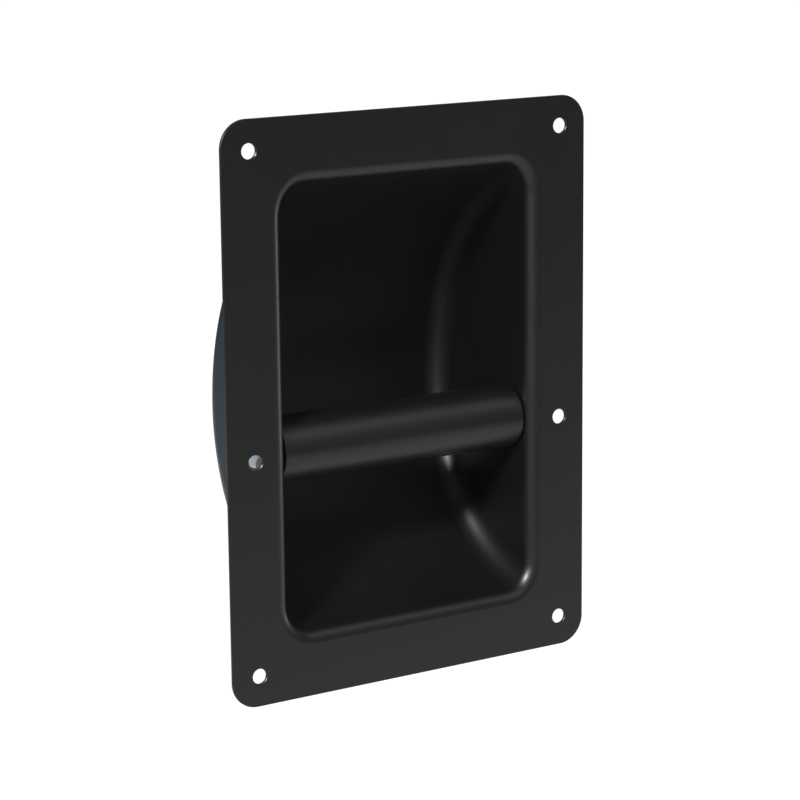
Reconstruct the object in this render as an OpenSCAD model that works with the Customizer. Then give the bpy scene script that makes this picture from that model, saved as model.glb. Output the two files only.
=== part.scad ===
/* [Flange] */
// Width of the flange, left to right
plate_w = 152; // [140:1:180]
// Height of the flange
plate_h = 207; // [195:1:240]
// Thickness of the steel sheet that the dish is pressed from
sheet_t = 1.2; // [1:0.1:1.6]
// Corner radius of the flange
plate_corner_r = 10; // [6:0.5:14]
// Distance from the flange's edge to a screw hole's centre
hole_margin = 11; // [9:0.5:12]
// Diameter of the screw holes
hole_d = 5.5; // [4.5:0.1:6.5]

/* [Pocket] */
// Width of the flange beside the mouth, up to the wall inside
flange_side = 24.2; // [22:0.1:27]
// Width of the flange above and below the mouth
flange_end = 23.1; // [22:0.1:27]
// Depth of the pocket inside, from the front face
pocket_depth = 60.5; // [52:0.5:70]
// Radius of the bend that rolls the flange into the mouth
mouth_bend_r = 5; // [4:0.1:6]
// Radius between the side walls and the curved floor
floor_rim_r = 12; // [9:0.5:14]
// How far the deepest line of the floor lies below the flange's centre
floor_drop = 7; // [2:0.5:9]

/* [Grip] */
// Diameter of the grip tube
grip_d = 23.4; // [20:0.1:25]
// Wall of the grip tube
grip_wall = 1.5; // [1.2:0.1:2]
// Distance from the front face back to the tube's axis
grip_setback = 14.5; // [13.5:0.1:18]
// How far the tube's axis and the two middle holes lie below the flange's centre
grip_drop = 15.5; // [8:0.5:20]
// Gap between each end of the tube and the wall
grip_end_gap = 0.8; // [0.4:0.1:1.2]
// Length of each end plug inside the tube
plug_len = 14; // [10:1:20]

/* [Through bolt] */
// Diameter of the bolt that carries the tube
bolt_d = 6; // [5:0.5:7]
// How far the bolt stands out of its lock nut
bolt_end = 2.9; // [1:0.1:5]

/* [Hidden] */
$fn = 96;
eps = 0.01;
over = 20;

half_w = plate_w / 2 - flange_side;
half_h = plate_h / 2 - flange_end;
front_y = -sheet_t;
grip_y = front_y + grip_setback;
grip_z = -grip_drop;

// floor arcs: each touches the mouth's bend and both meet at the deepest line
bend_to_floor = pocket_depth - mouth_bend_r;
reach_up = half_h + mouth_bend_r + floor_drop;
reach_down = half_h + mouth_bend_r - floor_drop;
floor_r_up = (reach_up * reach_up + bend_to_floor * bend_to_floor
    - mouth_bend_r * mouth_bend_r) / (2 * pocket_depth);
floor_r_down = (reach_down * reach_down + bend_to_floor * bend_to_floor
    - mouth_bend_r * mouth_bend_r) / (2 * pocket_depth);

// tube, plugs and their clearances
grip_len = 2 * (half_w - grip_end_gap);
grip_bore_d = grip_d - 2 * grip_wall;
grip_chamfer = 0.4;
plug_bore_clear = 0.05;
plug_web = 4;
plug_hub_wall = 2.5;
plug_skin = 1.8;

// bolt, washers and nut
wall_hole_clear = 0.2;
washer_d = 2 * bolt_d;
washer_t = 1.6;
washer_hole_clear = 0.2;
hex_af = 10 * bolt_d / 6;
head_h = 4 * bolt_d / 6;
nut_hex_h = 6 * bolt_d / 6;
nut_collar_h = 2 * bolt_d / 6;
nut_collar_d = 9 * bolt_d / 6;
insert_h = 1.8 * bolt_d / 6;
insert_d = 7.8 * bolt_d / 6;
head_turn = 22;
bolt_chamfer = 0.7;
wall_out_x = half_w + sheet_t;
washer_out_x = wall_out_x + washer_t;
bolt_tip_x = washer_out_x + nut_hex_h + nut_collar_h + bolt_end;

// a plate of thickness t lying behind the front plane, from a rounded rectangle
module rounded_slab(hw, hh, r, y0, t) {
    translate([0, y0 + t, 0]) rotate([90, 0, 0]) linear_extrude(t) {
        square([2 * hw, 2 * (hh - r)], center = true);
        square([2 * (hw - r), 2 * hh], center = true);
        for (sx = [-1, 1], sz = [-1, 1])
            translate([sx * (hw - r), sz * (hh - r)]) circle(r);
    }
}

// half outline of the pocket, radius across and width along
module drum_outline(r, hw, rim) {
    translate([0, -hw]) square([r - rim, 2 * hw]);
    translate([0, -(hw - rim)]) square([r, 2 * (hw - rim)]);
    for (s = [-1, 1])
        translate([r - rim, s * (hw - rim)]) circle(rim);
}

// a quarter turn of the outline about the left-right axis, upwards or downwards
module drum_quarter(floor_r, grow, up) {
    translate([0, pocket_depth - floor_r, -floor_drop])
        rotate([up ? 0 : -90, 0, 0])
            rotate([0, 90, 0]) rotate([0, 0, 90])
                rotate_extrude(angle = 90)
                    drum_outline(floor_r + grow, half_w + grow, floor_rim_r + grow);
}

// the pocket grown by one sheet for its outside, or by nothing for its inside
module drum(grow) {
    drum_quarter(floor_r_up, grow, true);
    drum_quarter(floor_r_down, grow, false);
}

// depth at which the bend ends against the floor's arc
function bend_stop(floor_r, roll_r) = mouth_bend_r
    - roll_r * (floor_r - bend_to_floor) / (floor_r + mouth_bend_r);

// the throat inside the rolled edge: a straight opening less the roll all round
module throat(grow, lead) {
    roll_r = mouth_bend_r - grow;
    cx = half_w - floor_rim_r;
    cz = half_h - floor_rim_r;
    difference() {
        rounded_slab(half_w + mouth_bend_r, half_h + mouth_bend_r,
            floor_rim_r + mouth_bend_r, -lead, mouth_bend_r + lead);
        for (s = [-1, 1]) {
            translate([s * (half_w + mouth_bend_r), mouth_bend_r, -cz])
                cylinder(r = roll_r, h = 2 * cz);
            translate([-cx, mouth_bend_r, s * (half_h + mouth_bend_r)])
                rotate([0, 90, 0]) cylinder(r = roll_r, h = 2 * cx);
        }
        for (sx = [0, 1], sz = [0, 1])
            mirror([sx, 0, 0]) mirror([0, 0, sz])
                translate([cx, mouth_bend_r, cz]) rotate([90, 0, 0])
                    rotate_extrude(angle = 90)
                        translate([floor_rim_r + mouth_bend_r, 0]) circle(roll_r);
        translate([-cx, bend_stop(floor_r_up, roll_r), cz])
            cube([2 * cx, over, over]);
        translate([-cx, bend_stop(floor_r_down, roll_r), -cz - over])
            cube([2 * cx, over, over]);
    }
}

module dish() {
    color([0.06, 0.06, 0.065])
    difference() {
        translate([0, front_y, 0]) difference() {
            union() {
                rounded_slab(plate_w / 2, plate_h / 2, plate_corner_r, 0, sheet_t);
                throat(sheet_t, 0);
                intersection() {
                    drum(sheet_t);
                    translate([-plate_w, 0, -plate_h])
                        cube([2 * plate_w, 2 * pocket_depth, 2 * plate_h]);
                }
            }
            drum(0);
            throat(0, 1);
        }
        for (sx = [-1, 1], hz = [-plate_h / 2 + hole_margin, grip_z, plate_h / 2 - hole_margin])
            translate([sx * (plate_w / 2 - hole_margin), 1, hz])
                rotate([90, 0, 0]) cylinder(d = hole_d, h = sheet_t + 2);
        translate([-wall_out_x - 1, grip_y, grip_z]) rotate([0, 90, 0])
            cylinder(d = bolt_d + 2 * wall_hole_clear, h = 2 * wall_out_x + 2);
    }
}

module grip_tube() {
    color([0.06, 0.06, 0.065])
    translate([-grip_len / 2, grip_y, grip_z]) rotate([0, 90, 0])
        rotate_extrude()
            polygon([
                [grip_bore_d / 2, 0],
                [grip_d / 2 - grip_chamfer, 0],
                [grip_d / 2, grip_chamfer],
                [grip_d / 2, grip_len - grip_chamfer],
                [grip_d / 2 - grip_chamfer, grip_len],
                [grip_bore_d / 2, grip_len]
            ]);
}

// one plug, its face at the origin and its body running along +X
module plug() {
    bore_r = bolt_d / 2 + plug_bore_clear;
    color([0.12, 0.12, 0.12])
    rotate([0, 90, 0])
        rotate_extrude()
            polygon([
                [bore_r, 0],
                [grip_bore_d / 2, 0],
                [grip_bore_d / 2, plug_len],
                [grip_bore_d / 2 - plug_skin, plug_len],
                [grip_bore_d / 2 - plug_skin, plug_web],
                [bore_r + plug_hub_wall, plug_web],
                [bore_r + plug_hub_wall, plug_len],
                [bore_r, plug_len]
            ]);
}

module plug_left() {
    translate([-grip_len / 2, grip_y, grip_z]) plug();
}

module plug_right() {
    translate([grip_len / 2, grip_y, grip_z]) mirror([1, 0, 0]) plug();
}

module through_bolt() {
    shank_len = bolt_tip_x + washer_out_x;
    color([0.75, 0.75, 0.72])
    translate([-washer_out_x, grip_y, grip_z]) rotate([0, 90, 0]) {
        rotate_extrude()
            polygon([
                [0, -eps],
                [bolt_d / 2, -eps],
                [bolt_d / 2, shank_len - bolt_chamfer],
                [bolt_d / 2 - bolt_chamfer, shank_len],
                [0, shank_len]
            ]);
        intersection() {
            translate([0, 0, -head_h]) rotate([0, 0, head_turn])
                cylinder(d = hex_af / cos(30), h = head_h, $fn = 6);
            translate([0, 0, -head_h])
                cylinder(r1 = hex_af / 2 * 0.95, r2 = hex_af / 2 * 0.95 + head_h * 1.7, h = head_h);
        }
    }
}

// a flat washer whose inner face is at the origin, running along +X
module washer() {
    color([0.75, 0.75, 0.72])
    rotate([0, 90, 0])
        rotate_extrude()
            translate([bolt_d / 2 + washer_hole_clear, 0])
                square([washer_d / 2 - bolt_d / 2 - washer_hole_clear, washer_t]);
}

module washer_left() {
    translate([-washer_out_x, grip_y, grip_z]) washer();
}

module washer_right() {
    translate([wall_out_x, grip_y, grip_z]) washer();
}

module lock_nut() {
    nut_h = nut_hex_h + nut_collar_h;
    lip = nut_collar_h - insert_h;
    color([0.75, 0.75, 0.72])
    translate([washer_out_x, grip_y, grip_z]) rotate([0, 90, 0])
        difference() {
            union() {
                intersection() {
                    cylinder(d = hex_af / cos(30), h = nut_hex_h, $fn = 6);
                    cylinder(r1 = hex_af / 2 * 0.95, r2 = hex_af / 2 * 0.95 + nut_hex_h * 1.7,
                        h = nut_hex_h);
                }
                cylinder(d = nut_collar_d, h = nut_h);
            }
            translate([0, 0, -1]) cylinder(d = bolt_d, h = nut_h + 2);
            translate([0, 0, nut_hex_h]) cylinder(d = insert_d, h = insert_h);
        }
}

module nut_insert() {
    color([0.2, 0.35, 0.75])
    translate([washer_out_x + nut_hex_h, grip_y, grip_z]) rotate([0, 90, 0])
        difference() {
            cylinder(d = insert_d, h = insert_h);
            translate([0, 0, -1]) cylinder(d = bolt_d, h = insert_h + 2);
        }
}

dish();
grip_tube();
plug_left();
plug_right();
through_bolt();
washer_left();
washer_right();
lock_nut();
nut_insert();
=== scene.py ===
# %% [markdown]
# # A recessed grip handle
# The real part is one steel sheet pressed into a dish, a steel tube that
# crosses the dish as the grip, and one long bolt that carries the tube. The
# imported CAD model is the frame: it gives every size and place, in metres,
# and each visible piece made here sits exactly where its CAD node is.

# %% Load the frame
import math
import bmesh
import bpy
from mathutils import Matrix, Vector


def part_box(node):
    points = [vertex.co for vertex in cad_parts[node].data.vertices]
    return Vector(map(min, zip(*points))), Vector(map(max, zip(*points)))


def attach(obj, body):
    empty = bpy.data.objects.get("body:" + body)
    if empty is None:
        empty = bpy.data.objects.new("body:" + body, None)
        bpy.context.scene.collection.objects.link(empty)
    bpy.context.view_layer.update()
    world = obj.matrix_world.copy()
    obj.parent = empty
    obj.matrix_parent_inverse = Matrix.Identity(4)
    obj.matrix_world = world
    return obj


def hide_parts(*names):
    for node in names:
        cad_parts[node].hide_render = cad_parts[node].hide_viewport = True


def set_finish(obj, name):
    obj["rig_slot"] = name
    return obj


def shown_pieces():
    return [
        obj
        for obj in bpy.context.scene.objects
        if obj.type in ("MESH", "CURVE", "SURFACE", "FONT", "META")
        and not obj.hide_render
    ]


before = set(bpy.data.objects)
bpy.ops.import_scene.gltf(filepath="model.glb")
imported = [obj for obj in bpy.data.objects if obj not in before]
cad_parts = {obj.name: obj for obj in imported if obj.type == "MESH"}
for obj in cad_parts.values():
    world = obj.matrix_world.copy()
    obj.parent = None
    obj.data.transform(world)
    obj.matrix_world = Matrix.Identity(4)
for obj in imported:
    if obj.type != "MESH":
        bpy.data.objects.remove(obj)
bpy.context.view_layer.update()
MM = 0.001
MERGE = 0.002 * MM
NEAR = 0.01 * MM
bpy.context.scene.view_settings.view_transform = "Standard"

# %% [markdown]
# ## Measurements
# A maker notes the drawing's sizes before touching a tool. What the frame
# can tell is read from it, so that the two never drift apart. The rest
# repeats the drawing, apart from the inner corner and the mouth's height,
# which were read again from the photograph. With them the floor is a little
# less deep at its side edges than in its middle, and the middle keeps the
# drawing's depth.

# %% Sizes taken from the frame and the drawing
dish_low, dish_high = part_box("dish")
tube_low, tube_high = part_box("grip_tube")
front_y = dish_low.y
sheet = 1.2 * MM
edge_depth = 58.8 * MM
crown = dish_high.y - front_y - sheet - edge_depth
plate_half_w = dish_high.x
plate_half_h = dish_high.z
mouth_half_w = plate_half_w - 24.2 * MM
mouth_half_h = plate_half_h - 24.0 * MM
corner_r = 10 * MM
bend_r = 5 * MM
rim_r = 8 * MM
mouth_corner_r = 9.5 * MM
drop = 7 * MM
draft = math.radians(1.0)
grip_y = (tube_low.y + tube_high.y) / 2
grip_z = (tube_low.z + tube_high.z) / 2
print("floor's depth at its edges", round(edge_depth / MM, 2))
print("floor's depth in its middle", round((edge_depth + crown) / MM, 2))
print("grip axis", round(grip_y / MM, 2), round(grip_z / MM, 2))

# %% [markdown]
# ## Camera
# The photograph was taken from the left and a little above, from about a
# metre away with a long lens. The camera's place was worked out from the
# plate's four corners and its six holes, and it is set once as a matrix, so
# that nothing about it depends on the order of later steps.

# %% Camera
CAMERA_TURN = math.radians(32.946)
CAMERA_RISE = math.radians(11.972)
CAMERA_ROLL = math.radians(-0.586)
CAMERA_AIM = Vector((-5.293 * MM, front_y, -0.557 * MM))
CAMERA_AWAY = 958.54 * MM
FOCAL_PIXELS = 2692.57
PICTURE_PIXELS = 800

to_camera = Vector((
    -math.sin(CAMERA_TURN) * math.cos(CAMERA_RISE),
    -math.cos(CAMERA_TURN) * math.cos(CAMERA_RISE),
    math.sin(CAMERA_RISE)))
level_right = (-to_camera).cross(Vector((0, 0, 1))).normalized()
level_up = level_right.cross(-to_camera)
camera_right = level_right * math.cos(CAMERA_ROLL) + level_up * math.sin(CAMERA_ROLL)
camera_up = level_up * math.cos(CAMERA_ROLL) - level_right * math.sin(CAMERA_ROLL)
camera_place = CAMERA_AIM + to_camera * CAMERA_AWAY

bpy.ops.object.camera_add()
camera = bpy.context.object
camera.name = "camera"
camera.matrix_world = Matrix((
    (camera_right.x, camera_up.x, to_camera.x, camera_place.x),
    (camera_right.y, camera_up.y, to_camera.y, camera_place.y),
    (camera_right.z, camera_up.z, to_camera.z, camera_place.z),
    (0, 0, 0, 1)))
camera.data.sensor_width = 36
camera.data.lens = FOCAL_PIXELS / PICTURE_PIXELS * camera.data.sensor_width
camera.data.clip_start = 0.05
camera.data.clip_end = 40
bpy.context.scene.camera = camera
print("camera at", [round(v, 4) for v in camera_place], "lens", round(camera.data.lens, 2))

# %% [markdown]
# ## Working by hand, in code
# An operator acts on whatever is selected, and loading the frame leaves its
# nodes selected. So every piece starts by deselecting all, and inside edit
# mode points, edges and faces are picked by where they lie, as a modeller
# would pick them with the mouse.

# %% Helpers for selecting and finishing
def start_fresh():
    """Leave edit mode, and leave nothing selected."""
    if bpy.context.object and bpy.context.object.mode != "OBJECT":
        bpy.ops.object.mode_set(mode="OBJECT")
    bpy.ops.object.select_all(action="DESELECT")


def pick(kind, test):
    """Select the verts, edges or faces of the mesh in edit mode that pass a test."""
    bpy.ops.mesh.select_mode(type=kind)
    bpy.ops.mesh.select_all(action="DESELECT")
    mesh = bmesh.from_edit_mesh(bpy.context.object.data)
    for item in {"VERT": mesh.verts, "EDGE": mesh.edges, "FACE": mesh.faces}[kind]:
        if test(item):
            item.select_set(True)
    bmesh.update_edit_mesh(bpy.context.object.data)


def modify(piece, kind, **settings):
    """Add a modifier, set it and apply it."""
    bpy.context.view_layer.objects.active = piece
    made = piece.modifiers.new(kind.title(), kind)
    for name, value in settings.items():
        setattr(made, name, value)
    bpy.ops.object.modifier_apply(modifier=made.name)


def round_edges(piece, width, steps, degrees):
    """Round every edge that is sharper than the angle."""
    modify(piece, "BEVEL", width=width, segments=steps, limit_method="ANGLE",
           angle_limit=math.radians(degrees))


def settle(piece, name):
    """Put the object at the origin with its place in its mesh, and name it."""
    start_fresh()
    piece.select_set(True)
    bpy.context.view_layer.objects.active = piece
    bpy.ops.object.transform_apply(location=True, rotation=True, scale=True)
    piece.name = piece.data.name = name
    piece.data.calc_loop_triangles()
    print(name, len(piece.data.loop_triangles), "triangles")


def tidy_normals():
    """Merge doubles, then turn every face of the mesh in edit mode outwards."""
    bpy.ops.mesh.select_all(action="SELECT")
    bpy.ops.mesh.remove_doubles(threshold=MERGE)
    bpy.ops.mesh.normals_make_consistent(inside=False)


# %% [markdown]
# ## The dish: its floor
# The press tool that draws this dish is turned on a lathe in two parts: the
# floor is an arc above the deepest line and a tighter arc below it. Spinning
# one cross-section about each arc's centre is the same idea. The section is
# a flat middle with a quarter round at each side, where floor becomes wall.
# The middle is dished afterwards.

# %% Arcs of the floor
def floor_radius(reach):
    """Radius of the arc that runs from the deepest line into the mouth's bend."""
    straight = edge_depth - bend_r
    return (reach * reach + straight * straight - bend_r * bend_r) / (2 * edge_depth)


floor_r_up = floor_radius(mouth_half_h + bend_r + drop)
floor_r_down = floor_radius(mouth_half_h + bend_r - drop)
print("floor radii", round(floor_r_up / MM, 2), round(floor_r_down / MM, 2))

# %% Cross-section at the deepest line
RIM_STEPS = 12
FLOOR_CUTS = 15
start_fresh()
bpy.ops.mesh.primitive_plane_add(size=1, location=(0, 0, 0))
dish = bpy.context.object
bpy.ops.object.mode_set(mode="EDIT")
pick("VERT", lambda v: v.co.y > 0)
bpy.ops.mesh.delete(type="VERT")
flat_half = mouth_half_w - rim_r
bpy.ops.mesh.select_all(action="SELECT")
bpy.ops.transform.resize(value=(2 * flat_half, 0, 0), center_override=(0, 0, 0))
bpy.ops.transform.translate(value=(0, edge_depth, -drop))
bpy.ops.mesh.subdivide(number_cuts=FLOOR_CUTS)
for side in (1, -1):
    pick("VERT", lambda v: abs(v.co.x - side * flat_half) < NEAR)
    bpy.ops.mesh.spin(steps=RIM_STEPS, angle=side * math.pi / 2,
                      center=(side * flat_half, edge_depth - rim_r, -drop), axis=(0, 0, 1))
bm = bmesh.from_edit_mesh(dish.data)
print("section points:", len(bm.verts))

# %% Spin the section up and down into the two arcs
ARC_STEPS = 32
ARC_ANGLE = math.radians(60)
for direction, radius in ((1, floor_r_up), (-1, floor_r_down)):
    pick("EDGE", lambda e: all(abs(v.co.z + drop) < NEAR for v in e.verts))
    bpy.ops.mesh.spin(steps=ARC_STEPS, angle=ARC_ANGLE,
                      center=(0, edge_depth - radius, -drop), axis=(-direction, 0, 0))
bpy.ops.mesh.select_all(action="SELECT")
bpy.ops.mesh.remove_doubles(threshold=MERGE)

# %% [markdown]
# ## The dish: where the arcs end
# A turned floor ends on a straight line, but a pressed one ends where the
# rounded mouth of the die takes over, and that is earlier near the walls
# than in the middle. So each line of points is slid along its own arc until
# it ends on the bend. On the way the inner radius opens a little, from the
# floor's deepest line to the corners of the mouth. A wide pressed floor also
# springs out in its middle, and that is added here, with level edges so that
# no crease is left.

# %% Slide every line of points to its end on the bend
def ease(share):
    """0 to 1 with level ends."""
    return share * share * (3 - 2 * share)


def place_on_arc(v):
    """Where a point of the turned floor belongs, and the sheet's normal there."""
    up = 1 if v.co.z > -drop else -1
    radius = floor_r_up if up > 0 else floor_r_down
    axis_y = edge_depth - radius
    away = math.hypot(v.co.y - axis_y, v.co.z + drop)
    share = math.atan2(abs(v.co.z + drop), v.co.y - axis_y) / ARC_ANGLE
    sine = min(1.0, max(0.0, (away - radius + rim_r) / rim_r))
    cosine = math.sqrt(1 - sine * sine)
    end_away = radius - mouth_corner_r * (1 - sine) + bend_r * sine
    turn = share * math.acos((bend_r - axis_y) / end_away)
    inner_r = rim_r + (mouth_corner_r - rim_r) * ease(share)
    reach = radius - inner_r * (1 - sine)
    side = 1 if v.co.x > 0 else -1
    x = v.co.x
    if abs(x) > flat_half + MERGE:
        x = side * (mouth_half_w - inner_r + inner_r * cosine)
    else:
        reach += crown * (1 - (x / flat_half) ** 2) ** 2 * (1 - ease(share))
        x = x / flat_half * (mouth_half_w - inner_r)
    place = Vector((x, axis_y + reach * math.cos(turn), up * reach * math.sin(turn) - drop))
    normal = Vector((side * cosine, sine * math.cos(turn), up * sine * math.sin(turn)))
    return place, normal


bm = bmesh.from_edit_mesh(dish.data)
sheet_normal = bm.verts.layers.float_vector.new("sheet_normal")
for v in bm.verts:
    v.co, v[sheet_normal] = place_on_arc(v)
bmesh.update_edit_mesh(dish.data)
print("arc ends at depth", round(min(v.co.y for v in bm.verts) / MM, 2), "mm")

# %% Side walls: pull the floor's outer lines forward to the bend
pick("EDGE", lambda e: all(abs(abs(v.co.x) - mouth_half_w) < NEAR for v in e.verts))
bpy.ops.mesh.extrude_edges_indiv()
bpy.ops.transform.resize(value=(1, 0, 1), center_override=(0, bend_r, 0))
bpy.ops.mesh.select_all(action="SELECT")
bpy.ops.mesh.remove_doubles(threshold=MERGE)

# %% [markdown]
# ## The dish: rolled mouth
# The sheet is drawn over a rounded die ring, so wall and flange meet in a
# bend of one radius, whatever angle they meet at. A bevel would make that
# radius change with the angle. Extruding the open edge in small steps about
# the bend's own centre line keeps it constant.

# %% Roll the open edge over the die ring
BEND_STEPS = 12
FORWARD = Vector((0, -1, 0))
pick("EDGE", lambda e: e.is_boundary)
for step in range(1, BEND_STEPS + 1):
    bpy.ops.mesh.extrude_edges_indiv()
    bm = bmesh.from_edit_mesh(dish.data)
    normal_of = bm.verts.layers.float_vector["sheet_normal"]
    for v in (v for v in bm.verts if v.select):
        normal = v[normal_of].normalized()
        whole = math.acos(normal.y)
        inward = (-normal - FORWARD * (-normal).dot(FORWARD)).normalized()
        before = whole * (1 - (step - 1) / BEND_STEPS)
        after = whole * (1 - step / BEND_STEPS)
        v.co += bend_r * (FORWARD * (math.cos(after) - math.cos(before))
                          + inward * (math.sin(after) - math.sin(before)))
    bmesh.update_edit_mesh(dish.data)
bm = bmesh.from_edit_mesh(dish.data)
print("front of the bend:", {round(v.co.y / MM, 3) for v in bm.verts if v.select})

# %% Lay a ring of flange round the bend, and bridge it to the plate's outline
RING = 8 * MM
CORNER_STEPS = 14
bpy.ops.mesh.extrude_edges_indiv()
bm = bmesh.from_edit_mesh(dish.data)
normal_of = bm.verts.layers.float_vector["sheet_normal"]
for v in (v for v in bm.verts if v.select):
    outward = Vector((v[normal_of].x, 0, v[normal_of].z)).normalized()
    v.co += outward * RING
bmesh.update_edit_mesh(dish.data)
bpy.ops.mesh.primitive_plane_add(size=1, rotation=(math.pi / 2, 0, 0))
bpy.ops.transform.resize(value=(2 * plate_half_w, 1, 2 * plate_half_h), center_override=(0, 0, 0))
bpy.ops.mesh.bevel(offset=corner_r, segments=CORNER_STEPS, affect="VERTICES")
bpy.ops.mesh.delete(type="ONLY_FACE")
pick("EDGE", lambda e: e.is_wire or (e.is_boundary and abs(e.verts[0].co.y) < NEAR))
bpy.ops.mesh.bridge_edge_loops()

# %% [markdown]
# ## The dish: draft, thickness, edges and holes
# Pressed walls lean in by about a degree, so that the punch comes out again.
# The skin modelled so far is the face that is seen and touched, so the sheet
# gets its thickness behind it. The blank's cut edge is then broken slightly,
# and the holes are punched last, with cutters that have a slight flare, as a
# worn punch leaves it: eight in all, six for screws and two for the bolt.

# %% Draft and thickness
bm = bmesh.from_edit_mesh(dish.data)
for v in bm.verts:
    if v.co.y > bend_r:
        v.co.x *= 1 - math.tan(draft) * (v.co.y - bend_r) / mouth_half_w
bmesh.update_edit_mesh(dish.data)
tidy_normals()
bm = bmesh.from_edit_mesh(dish.data)
flat_faces = [f for f in bm.faces if abs(f.normal.y) > 0.99 and f.calc_center_median().y < MM]
flange = max(flat_faces, key=lambda f: f.calc_area())
if flange.normal.y > 0:
    bpy.ops.mesh.flip_normals()
bpy.ops.transform.translate(value=(0, front_y, 0))
bpy.ops.object.mode_set(mode="OBJECT")
modify(dish, "SOLIDIFY", thickness=sheet, offset=-1, use_even_offset=True, use_quality_normals=True)
round_edges(dish, 0.3 * MM, 3, 60)
print("sheet from", round(min(v.co.y for v in dish.data.vertices) / MM, 3),
      "to", round(max(v.co.y for v in dish.data.vertices) / MM, 3))

# %% [markdown]
# ## Turned parts
# Tube, plugs, washers and the bolt's shank are all turned on a lathe: half
# an outline goes round an axis. One helper draws the outline point by point
# from a single vertex, spins it, closes it, and turns its faces outwards.

# %% A lathe
def turned(outline, axis="X", centre=(0, 0, 0), steps=64, closed=True):
    """Spin an outline of (along the axis, radius) points; gives the object in object mode."""
    start_fresh()
    along = Vector((1, 0, 0)) if axis == "X" else Vector((0, 1, 0))
    across = Vector((0, 0, 1))
    centre = Vector(centre)
    points = [centre + along * a + across * r for a, r in outline]
    bpy.ops.mesh.primitive_plane_add(size=MM)
    piece = bpy.context.object
    bpy.ops.object.mode_set(mode="EDIT")
    bpy.ops.mesh.select_mode(type="VERT")
    bpy.ops.mesh.select_all(action="SELECT")
    bpy.ops.mesh.merge(type="CENTER")
    bpy.ops.transform.translate(value=points[0])
    for here, there in zip(points, points[1:] + points[:1] * closed):
        bpy.ops.mesh.extrude_vertices_move(TRANSFORM_OT_translate={"value": there - here})
    bpy.ops.mesh.select_all(action="SELECT")
    bpy.ops.mesh.remove_doubles(threshold=MERGE)
    bpy.ops.mesh.select_all(action="SELECT")
    bpy.ops.mesh.spin(steps=steps, angle=2 * math.pi, center=centre, axis=along)
    tidy_normals()
    bpy.ops.object.mode_set(mode="OBJECT")
    return piece


def cut(piece, tool, operation="DIFFERENCE"):
    """Join, cut or trim a piece with a tool, and take the tool away."""
    modify(piece, "BOOLEAN", operation=operation, solver="EXACT", object=tool)
    bpy.data.objects.remove(tool)


# %% Punch the holes
HOLE_R = 5.5 / 2 * MM
BOLT_HOLE_R = 6.4 / 2 * MM
FLARE = 0.3 * MM
HOLE_INSET = 11 * MM


def punch(radius):
    """Outline of a punch that breaks both edges of the sheet."""
    far = sheet + MM
    return [(-MM, 0), (-MM, radius + FLARE + MM), (FLARE, radius), (sheet - FLARE, radius),
            (far, radius + FLARE + MM), (far, 0)]


hole_x = plate_half_w - HOLE_INSET
hole_z = plate_half_h - HOLE_INSET
for x in (-hole_x, hole_x):
    for z in (-hole_z, grip_z, hole_z):
        cut(dish, turned(punch(HOLE_R), "Y", (x, front_y, z), closed=False))
for x in (-mouth_half_w - sheet, mouth_half_w):
    cut(dish, turned(punch(BOLT_HOLE_R), "X", (x, grip_y, grip_z), closed=False))


# %% Shade, name and place the dish
def smooth(piece, degrees=35):
    """Smooth shading that keeps edges sharper than the angle, weighted to the big faces."""
    start_fresh()
    piece.select_set(True)
    bpy.context.view_layer.objects.active = piece
    bpy.ops.object.shade_smooth_by_angle(angle=math.radians(degrees))
    modify(piece, "WEIGHTED_NORMAL", keep_sharp=True, mode="FACE_AREA")


settle(dish, "pressed_dish")
smooth(dish)
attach(dish, "shell")
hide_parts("dish")
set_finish(dish, "dish_coat")

# %% [markdown]
# ## The grip tube
# A length of steel tube, cut square and deburred. Its ends stand just clear
# of the walls, which is the thin dark line seen at both ends.

# %% Grip tube
GRIP_R = 23.4 / 2 * MM
TUBE_WALL = 1.5 * MM
BORE_R = GRIP_R - TUBE_WALL
grip_half = tube_high.x
grip = turned([(-grip_half, BORE_R), (-grip_half, GRIP_R), (grip_half, GRIP_R), (grip_half, BORE_R)],
              "X", (0, grip_y, grip_z), steps=96)
round_edges(grip, 0.4 * MM, 4, 50)
settle(grip, "grip_tube_steel")
smooth(grip)
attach(grip, "grip")
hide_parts("grip_tube")
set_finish(grip, "grip_coat")

# %% [markdown]
# ## End plugs
# A moulded plug fills each end of the tube and turns on the bolt. A web
# carries the hub, and behind the web the plug is hollow, so that the walls
# cool evenly in the mould.

# %% End plugs
PLUG_LENGTH = 14 * MM
WEB = 4 * MM
PLUG_BORE_R = 3.05 * MM
hub_r = PLUG_BORE_R + 2.5 * MM
hollow_r = BORE_R - 1.8 * MM
for side, name in ((-1, "plug_left"), (1, "plug_right")):
    face = side * grip_half
    outline = [(0, PLUG_BORE_R), (0, BORE_R), (PLUG_LENGTH, BORE_R), (PLUG_LENGTH, hollow_r),
               (WEB, hollow_r), (WEB, hub_r), (PLUG_LENGTH, hub_r), (PLUG_LENGTH, PLUG_BORE_R)]
    plug = turned([(face - side * a, r) for a, r in outline], "X", (0, grip_y, grip_z))
    round_edges(plug, 0.3 * MM, 3, 50)
    settle(plug, name + "_moulded")
    smooth(plug)
    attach(plug, "grip")
    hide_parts(name)
    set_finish(plug, "plug_nylon")

# %% [markdown]
# ## Through bolt
# A plated bolt: a forged hexagon head, a plain shank and a rolled thread
# where the nut sits. The thread is a ridge that climbs one pitch a turn,
# joined to the core, and then trimmed to the bolt's own outline so that it
# fades at the tip as a real one does.

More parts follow.
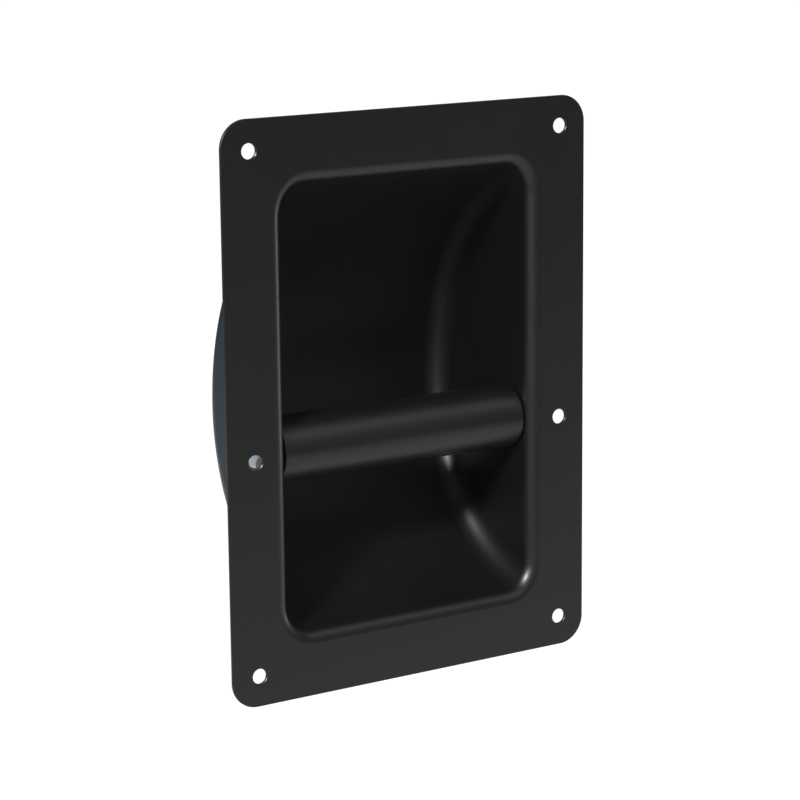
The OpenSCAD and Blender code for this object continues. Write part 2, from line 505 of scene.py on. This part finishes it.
# %% Shank and thread
bolt_low, bolt_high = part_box("through_bolt")
PITCH = 1 * MM
BOLT_R = 3 * MM
ROOT_R = 2.4 * MM
THREAD_TURNS = 20
head_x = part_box("washer_left")[0].x
tip_x = bolt_high.x
thread_x = tip_x - THREAD_TURNS * PITCH
shank_r = BOLT_R - 0.03 * MM
tip = 0.5 * MM
bolt = turned([(head_x - MM, 0), (head_x - MM, shank_r), (thread_x - MM, shank_r),
               (thread_x, ROOT_R), (tip_x - tip, ROOT_R), (tip_x, ROOT_R - tip), (tip_x, 0)],
              "X", (0, grip_y, grip_z), steps=48, closed=False)

# %% Ridge of the thread
CREST_HALF = 0.07 * MM
FOOT_HALF = 0.48 * MM
crest_r = BOLT_R - 0.02 * MM
foot_r = ROOT_R - 0.06 * MM
start_fresh()
bpy.ops.mesh.primitive_plane_add(size=1, location=(0, 0, 0))
ridge = bpy.context.object
bpy.ops.object.mode_set(mode="EDIT")
bpy.ops.mesh.delete(type="ONLY_FACE")
bm = bmesh.from_edit_mesh(ridge.data)
for v in bm.verts:
    half, radius = (CREST_HALF, crest_r) if v.co.y > 0 else (FOOT_HALF, foot_r)
    v.co = Vector((half if v.co.x > 0 else -half, 0, radius))
bmesh.update_edit_mesh(ridge.data)
bpy.ops.object.mode_set(mode="OBJECT")
modify(ridge, "SCREW", axis="X", angle=2 * math.pi, screw_offset=PITCH, iterations=THREAD_TURNS + 1,
       steps=32, render_steps=32, use_merge_vertices=True)
bpy.ops.object.mode_set(mode="EDIT")
pick("EDGE", lambda e: e.is_boundary)
bpy.ops.mesh.fill()
tidy_normals()
bpy.ops.transform.translate(value=(thread_x - PITCH / 2, grip_y, grip_z))
bpy.ops.object.mode_set(mode="OBJECT")
ridge_x = [v.co.x / MM for v in ridge.data.vertices]
print("ridge spans", round(min(ridge_x), 2), "to", round(max(ridge_x), 2))
cut(bolt, ridge, "UNION")
fade = 0.8 * MM
envelope = turned([(head_x - 2 * MM, 0), (head_x - 2 * MM, BOLT_R + MM), (thread_x - MM, BOLT_R + MM),
                   (tip_x - fade, BOLT_R), (tip_x, BOLT_R - fade), (tip_x, 0)],
                  "X", (0, grip_y, grip_z), steps=48, closed=False)
cut(bolt, envelope, "INTERSECT")


# %% Hexagon head
FACE_SHARE = 0.95
CHAMFER_SLOPE = 1.732


def hexagon(across, start, length, turn, chamfered_end):
    """A hexagon bar along X whose corners are chamfered at one end, -1 or 1."""
    start_fresh()
    bpy.ops.mesh.primitive_cylinder_add(vertices=6, radius=across / 2 / math.cos(math.pi / 6), depth=length,
                                        location=(start + length / 2, grip_y, grip_z),
                                        rotation=(turn, math.pi / 2, 0))
    bar = bpy.context.object
    bpy.ops.object.transform_apply(location=True, rotation=True, scale=True)
    small = across / 2 * FACE_SHARE
    reach = length * CHAMFER_SLOPE
    outline = [(0, 0), (0, small), (length, small + reach), (length, 0)]
    if chamfered_end > 0:
        outline = [(length - a, r) for a, r in outline]
    cone = turned([(start + a, r) for a, r in outline], "X", (0, grip_y, grip_z), closed=False)
    cut(bar, cone, "INTERSECT")
    round_edges(bar, 0.12 * MM, 2, 20)
    return bar


HEX_ACROSS = 10 * MM
head_turn = math.radians(22)
cut(bolt, hexagon(HEX_ACROSS, bolt_low.x, head_x - bolt_low.x, head_turn, -1), "UNION")
settle(bolt, "hexagon_bolt")
smooth(bolt, 30)
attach(bolt, "shell")
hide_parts("through_bolt")
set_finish(bolt, "zinc")

# %% [markdown]
# ## Washers and lock nut
# A punched washer is rounded where the punch went in. The nut is a chamfered
# hexagon with a collar rolled over a nylon ring, which grips the thread.

# %% Washers
WASHER_BORE_R = 3.2 * MM
for name in ("washer_left", "washer_right"):
    low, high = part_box(name)
    outer = (high.z - low.z) / 2
    washer = turned([(low.x, WASHER_BORE_R), (low.x, outer), (high.x, outer), (high.x, WASHER_BORE_R)],
                    "X", (0, grip_y, grip_z))
    round_edges(washer, 0.25 * MM, 3, 50)
    settle(washer, name + "_punched")
    smooth(washer)
    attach(washer, "shell")
    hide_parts(name)
    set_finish(washer, "zinc")

# %% Lock nut and its ring
nut_low, nut_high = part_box("lock_nut")
ring_low, ring_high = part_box("nut_insert")
hex_length = 6 * MM
collar_r = 4.5 * MM
lip_r = (ring_high.z - ring_low.z) / 2
nut = hexagon(HEX_ACROSS, nut_low.x, hex_length, head_turn, 1)
collar_start = nut_low.x + hex_length - MM
roll = 0.7 * MM
collar = turned([(collar_start, 0), (collar_start, collar_r), (nut_high.x - roll, collar_r),
                 (nut_high.x - 0.2 * MM, collar_r - 0.25 * MM), (nut_high.x, collar_r - roll),
                 (nut_high.x, 0)],
                "X", (0, grip_y, grip_z), closed=False)
cut(nut, collar, "UNION")
nut_bore_r = BOLT_R + 0.02 * MM
lip_bore_r = BOLT_R + 0.5 * MM
bore = turned([(nut_low.x - MM, 0), (nut_low.x - MM, 4 * MM), (nut_low.x + 0.4 * MM, nut_bore_r),
               (ring_low.x, nut_bore_r), (ring_low.x, lip_r), (ring_high.x, lip_r),
               (ring_high.x, lip_bore_r), (nut_high.x + MM, lip_bore_r), (nut_high.x + MM, 0)],
              "X", (0, grip_y, grip_z), closed=False)
cut(nut, bore)
settle(nut, "hexagon_lock_nut")
smooth(nut, 30)
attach(nut, "shell")
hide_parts("lock_nut")
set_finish(nut, "zinc")

ring_bore_r = BOLT_R - 0.02 * MM
ring = turned([(ring_low.x, ring_bore_r), (ring_low.x, lip_r),
               (ring_high.x, lip_r), (ring_high.x, ring_bore_r)],
              "X", (0, grip_y, grip_z))
round_edges(ring, 0.2 * MM, 2, 50)
settle(ring, "nylon_ring")
smooth(ring)
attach(ring, "shell")
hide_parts("nut_insert")
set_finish(ring, "insert_nylon")

# %% [markdown]
# ## Finishes
# Shader maths reads best as arithmetic, so one small class wraps an output
# socket and writes the Math nodes for the operators used on it.

# %% Shader sockets as values
class Wire:
    """One output of a node tree, with arithmetic."""

    def __init__(self, tree, out=None):
        self.tree = tree
        self.out = out

    def node(self, kind, settings=None, inputs=None, out=0):
        """Add a node: settings first, then values or links, and give one of its outputs."""
        made = self.tree.nodes.new("ShaderNode" + kind)
        for name, value in (settings or {}).items():
            setattr(made, name, value)
        for name, value in (inputs or {}).items():
            if isinstance(value, Wire):
                self.tree.links.new(value.out, made.inputs[name])
            else:
                made.inputs[name].default_value = value
        return Wire(self.tree, made.outputs[out])

    def maths(self, operation, left, right):
        return self.node("Math", {"operation": operation}, {0: left, 1: right})

    def __add__(self, other):
        return self.maths("ADD", self, other)

    def __sub__(self, other):
        return self.maths("SUBTRACT", self, other)

    def __mul__(self, other):
        return self.maths("MULTIPLY", self, other)

    __radd__ = __add__
    __rmul__ = __mul__


def finish_of(name):
    """A new material: its tree's first wire, its shader node and its place in object space."""
    material = bpy.data.materials.new(name)
    material.use_nodes = True
    tree = material.node_tree
    shader = tree.nodes["Principled BSDF"]
    start = Wire(tree)
    place = start.node("TexCoord", out="Object")
    return material, tree, shader, start, place


def feed(tree, shader, **links):
    """Link wires to the shader's sockets, named with underscores for spaces."""
    for name, wire in links.items():
        tree.links.new(wire.out, shader.inputs[name.replace("_", " ")])


# %% [markdown]
# ## Black powder coat
# Powder is sprayed dry and melted on. It flows out to a satin skin that is
# never quite flat: a fine grain from the powder itself and a slow ripple
# called orange peel. Both go into the bump, and the grain also breaks up the
# gloss.

# %% Powder coat
def bumped(tree, start, shader, layers):
    """Stack bumps: each layer is a height wire and how many metres it stands proud."""
    bump = None
    for height, rise in layers:
        inputs = {"Height": height, "Strength": 1.0, "Distance": rise}
        if bump:
            inputs["Normal"] = bump
        bump = start.node("Bump", inputs=inputs)
    feed(tree, shader, Normal=bump)


def noise(start, place, size, detail=2.0, roughness=0.5):
    """Noise whose blotches are about this size, in metres."""
    return start.node("TexNoise", {"noise_dimensions": "3D"},
                      {"Vector": place, "Scale": 1 / size, "Detail": detail, "Roughness": roughness})


def mixed(start, factor, first, second):
    """A colour between two others."""
    return start.node("Mix", {"data_type": "RGBA"}, {0: factor, 6: first + (1,), 7: second + (1,)}, out=2)


def powder_coat(name):
    material, tree, shader, start, place = finish_of(name)
    grain = noise(start, place, 0.6 * MM)
    peel = noise(start, place, 3 * MM)
    cloud = noise(start, place, 38 * MM, 3.0)
    feed(tree, shader,
         Base_Color=mixed(start, grain, (0.0073, 0.0075, 0.0080), (0.0138, 0.0139, 0.0142)),
         Roughness=0.34 + 0.09 * grain + 0.06 * (cloud - 0.5))
    bumped(tree, start, shader, ((peel, 0.012 * MM), (grain, 0.018 * MM)))
    shader.inputs["Specular IOR Level"].default_value = 0.36
    return material


coat_of_dish = powder_coat("powder_coat_dish")
coat_of_grip = powder_coat("powder_coat_grip")

# %% [markdown]
# ## Zinc and nylon
# Bolt, washers and nut are zinc plated: light grey metal, slightly cloudy
# from the bath. The plugs are black nylon with a dull moulded skin, and the
# ring in the nut is blue nylon.

# %% Zinc plate
def zinc_plate(name):
    material, tree, shader, start, place = finish_of(name)
    cloud = noise(start, place, 2.5 * MM, 3.0)
    grain = noise(start, place, 0.25 * MM)
    shader.inputs["Metallic"].default_value = 1.0
    feed(tree, shader,
         Base_Color=mixed(start, cloud, (0.42, 0.43, 0.44), (0.56, 0.56, 0.55)),
         Roughness=0.36 + 0.14 * cloud + 0.05 * grain)
    bumped(tree, start, shader, ((cloud, 0.01 * MM), (grain, 0.003 * MM)))
    return material


# %% Moulded nylon
def moulded_nylon(name, dark, light):
    material, tree, shader, start, place = finish_of(name)
    grain = noise(start, place, 0.3 * MM)
    cloud = noise(start, place, 6 * MM)
    feed(tree, shader, Base_Color=mixed(start, cloud, dark, light), Roughness=0.48 + 0.12 * grain)
    bumped(tree, start, shader, ((grain, 0.004 * MM),))
    return material


finishes = {"dish_coat": coat_of_dish, "grip_coat": coat_of_grip, "zinc": zinc_plate("zinc_plate"),
            "plug_nylon": moulded_nylon("black_nylon", (0.012, 0.012, 0.012), (0.020, 0.020, 0.021)),
            "insert_nylon": moulded_nylon("blue_nylon", (0.02, 0.07, 0.30), (0.03, 0.10, 0.40))}

# %% Paint every piece with the finish its slot names
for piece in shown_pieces():
    if "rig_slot" in piece:
        piece.data.materials.clear()
        piece.data.materials.append(finishes[piece["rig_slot"]])
        print(piece.name, "is finished in", piece.data.materials[0].name)

# %% [markdown]
# ## Floor and light
# A product picture on white paper, taken in a dim room with a few large soft
# lamps. On a black satin part the lamps matter as reflections: what a face
# mirrors is what it looks like. So each lamp is named for what it draws, and
# it is placed by its bearing and height as seen from the object, where
# bearing 0 is straight in front and 90 is to the right. The flash appears
# twice: once as light, and once, much stronger, for reflections only, which
# draws the sharp streak on the inner corner without washing out the walls.

# %% White paper under the part
FLOOR_Z = -0.40
PAPER_R = 1.5
PAPER_MIDDLE = (0.4, 0.4, 0)
DARK_FLOOR = (0.08, 0.08, 0.08)
PAPER = (0.85, 0.85, 0.85)
start_fresh()
bpy.ops.mesh.primitive_plane_add(size=40, location=(0, 0, FLOOR_Z))
floor = bpy.context.object
floor.name = "floor"


def white_where_shown(start, lit, white, area, output):
    """Camera rays see the white, glossy and transmission rays see it in the area, others the lit shader."""
    camera_ray = start.node("LightPath", out="Is Camera Ray")
    glossy_ray = start.node("LightPath", out="Is Glossy Ray")
    clear_ray = start.node("LightPath", out="Is Transmission Ray")
    shown = start.node("Math", {"operation": "ADD", "use_clamp": True},
                       {0: camera_ray, 1: (glossy_ray + clear_ray) * area})
    both = start.node("MixShader", inputs={0: shown, 1: lit, 2: white})
    start.tree.links.new(both.out, output.inputs["Surface"])


paper = bpy.data.materials.new("white_paper")
paper.use_nodes = True
paper.node_tree.nodes.remove(paper.node_tree.nodes["Principled BSDF"])
start = Wire(paper.node_tree)
from_middle = start.node("VectorMath", {"operation": "DISTANCE"},
                         {0: start.node("TexCoord", out="Object"), 1: PAPER_MIDDLE}, out="Value")
area = start.node("MapRange", {"interpolation_type": "SMOOTHSTEP"},
                  {"Value": from_middle, "From Min": PAPER_R - 0.3, "From Max": PAPER_R + 0.5,
                   "To Min": 1.0, "To Max": 0.0})
lit = start.node("BsdfDiffuse", inputs={"Color": mixed(start, area, DARK_FLOOR, PAPER)})
glow = start.node("Emission", inputs={"Color": (1, 1, 1, 1), "Strength": 0.95})
shade = start.node("BsdfDiffuse", inputs={"Color": (0.3, 0.3, 0.3, 1)})
white = start.node("AddShader", inputs={0: glow, 1: shade})
white_where_shown(start, lit, white, area, paper.node_tree.nodes["Material Output"])
floor.data.materials.append(paper)

# %% The room: white behind the part, dim behind the camera
world = bpy.data.worlds.new("studio")
bpy.context.scene.world = world
world.use_nodes = True
tree = world.node_tree
start = Wire(tree)
facing = start.node("VectorMath", {"operation": "DOT_PRODUCT"},
                    {0: start.node("TexCoord", out="Generated"), 1: -to_camera}, out="Value")
area = start.node("MapRange", {"interpolation_type": "SMOOTHSTEP"},
                  {"Value": facing, "From Min": 0.5, "From Max": 0.95, "To Min": 0.0, "To Max": 1.0})
lit = start.node("Background", inputs={"Color": (0.94, 0.97, 1, 1), "Strength": 0.26 + 0.5 * area})
white = start.node("Background", inputs={"Color": (1, 1, 1, 1), "Strength": 1.0})
white_where_shown(start, lit, white, area, tree.nodes["World Output"])


# %% Soft lamps
def softbox(name, bearing, height, away, wide, tall, glow, colour=(1, 1, 1)):
    """A soft lamp that looks at the part, as bright as glow times white paper."""
    bearing, height = math.radians(bearing), math.radians(height)
    place = away * Vector((math.sin(bearing) * math.cos(height), -math.cos(bearing) * math.cos(height),
                           math.sin(height)))
    start_fresh()
    bpy.ops.object.light_add(type="AREA", location=place)
    lamp = bpy.context.object
    lamp.name = name
    lamp.data.shape = "RECTANGLE"
    lamp.data.size, lamp.data.size_y = wide, tall
    lamp.data.energy = glow * math.pi * wide * tall
    lamp.data.color = colour
    lamp.visible_camera = False
    lamp.rotation_euler = (-place).to_track_quat("-Z", "Y").to_euler()
    print(name, round(lamp.data.energy, 1), "watts")
    return lamp


COOL = (0.95, 0.98, 1.0)
FLASH_PLACE = (300, 31, 2.5, 0.3, 0.3)
softbox("window_left", 318, 16, 2.5, 2.2, 1.2, 1.35, COOL)
softbox("broad_above", 32, 46, 2.5, 1.8, 1.1, 1.4, COOL)
softbox("low_front", 10, 26, 2.5, 1.1, 0.7, 1.3)
softbox("flash_left", *FLASH_PLACE, 50, (1.0, 0.97, 0.93))
softbox("edge_right", 85, -8, 1.8, 0.6, 0.25, 9.0, (1.0, 0.90, 0.82))
softbox("rim_back_left", 213, -9, 2.0, 0.8, 0.4, 1.2, (0.0, 0.55, 1.0))
glint = softbox("glint_of_flash", *FLASH_PLACE, 520, (1.0, 0.95, 0.9))
glint.visible_diffuse = False
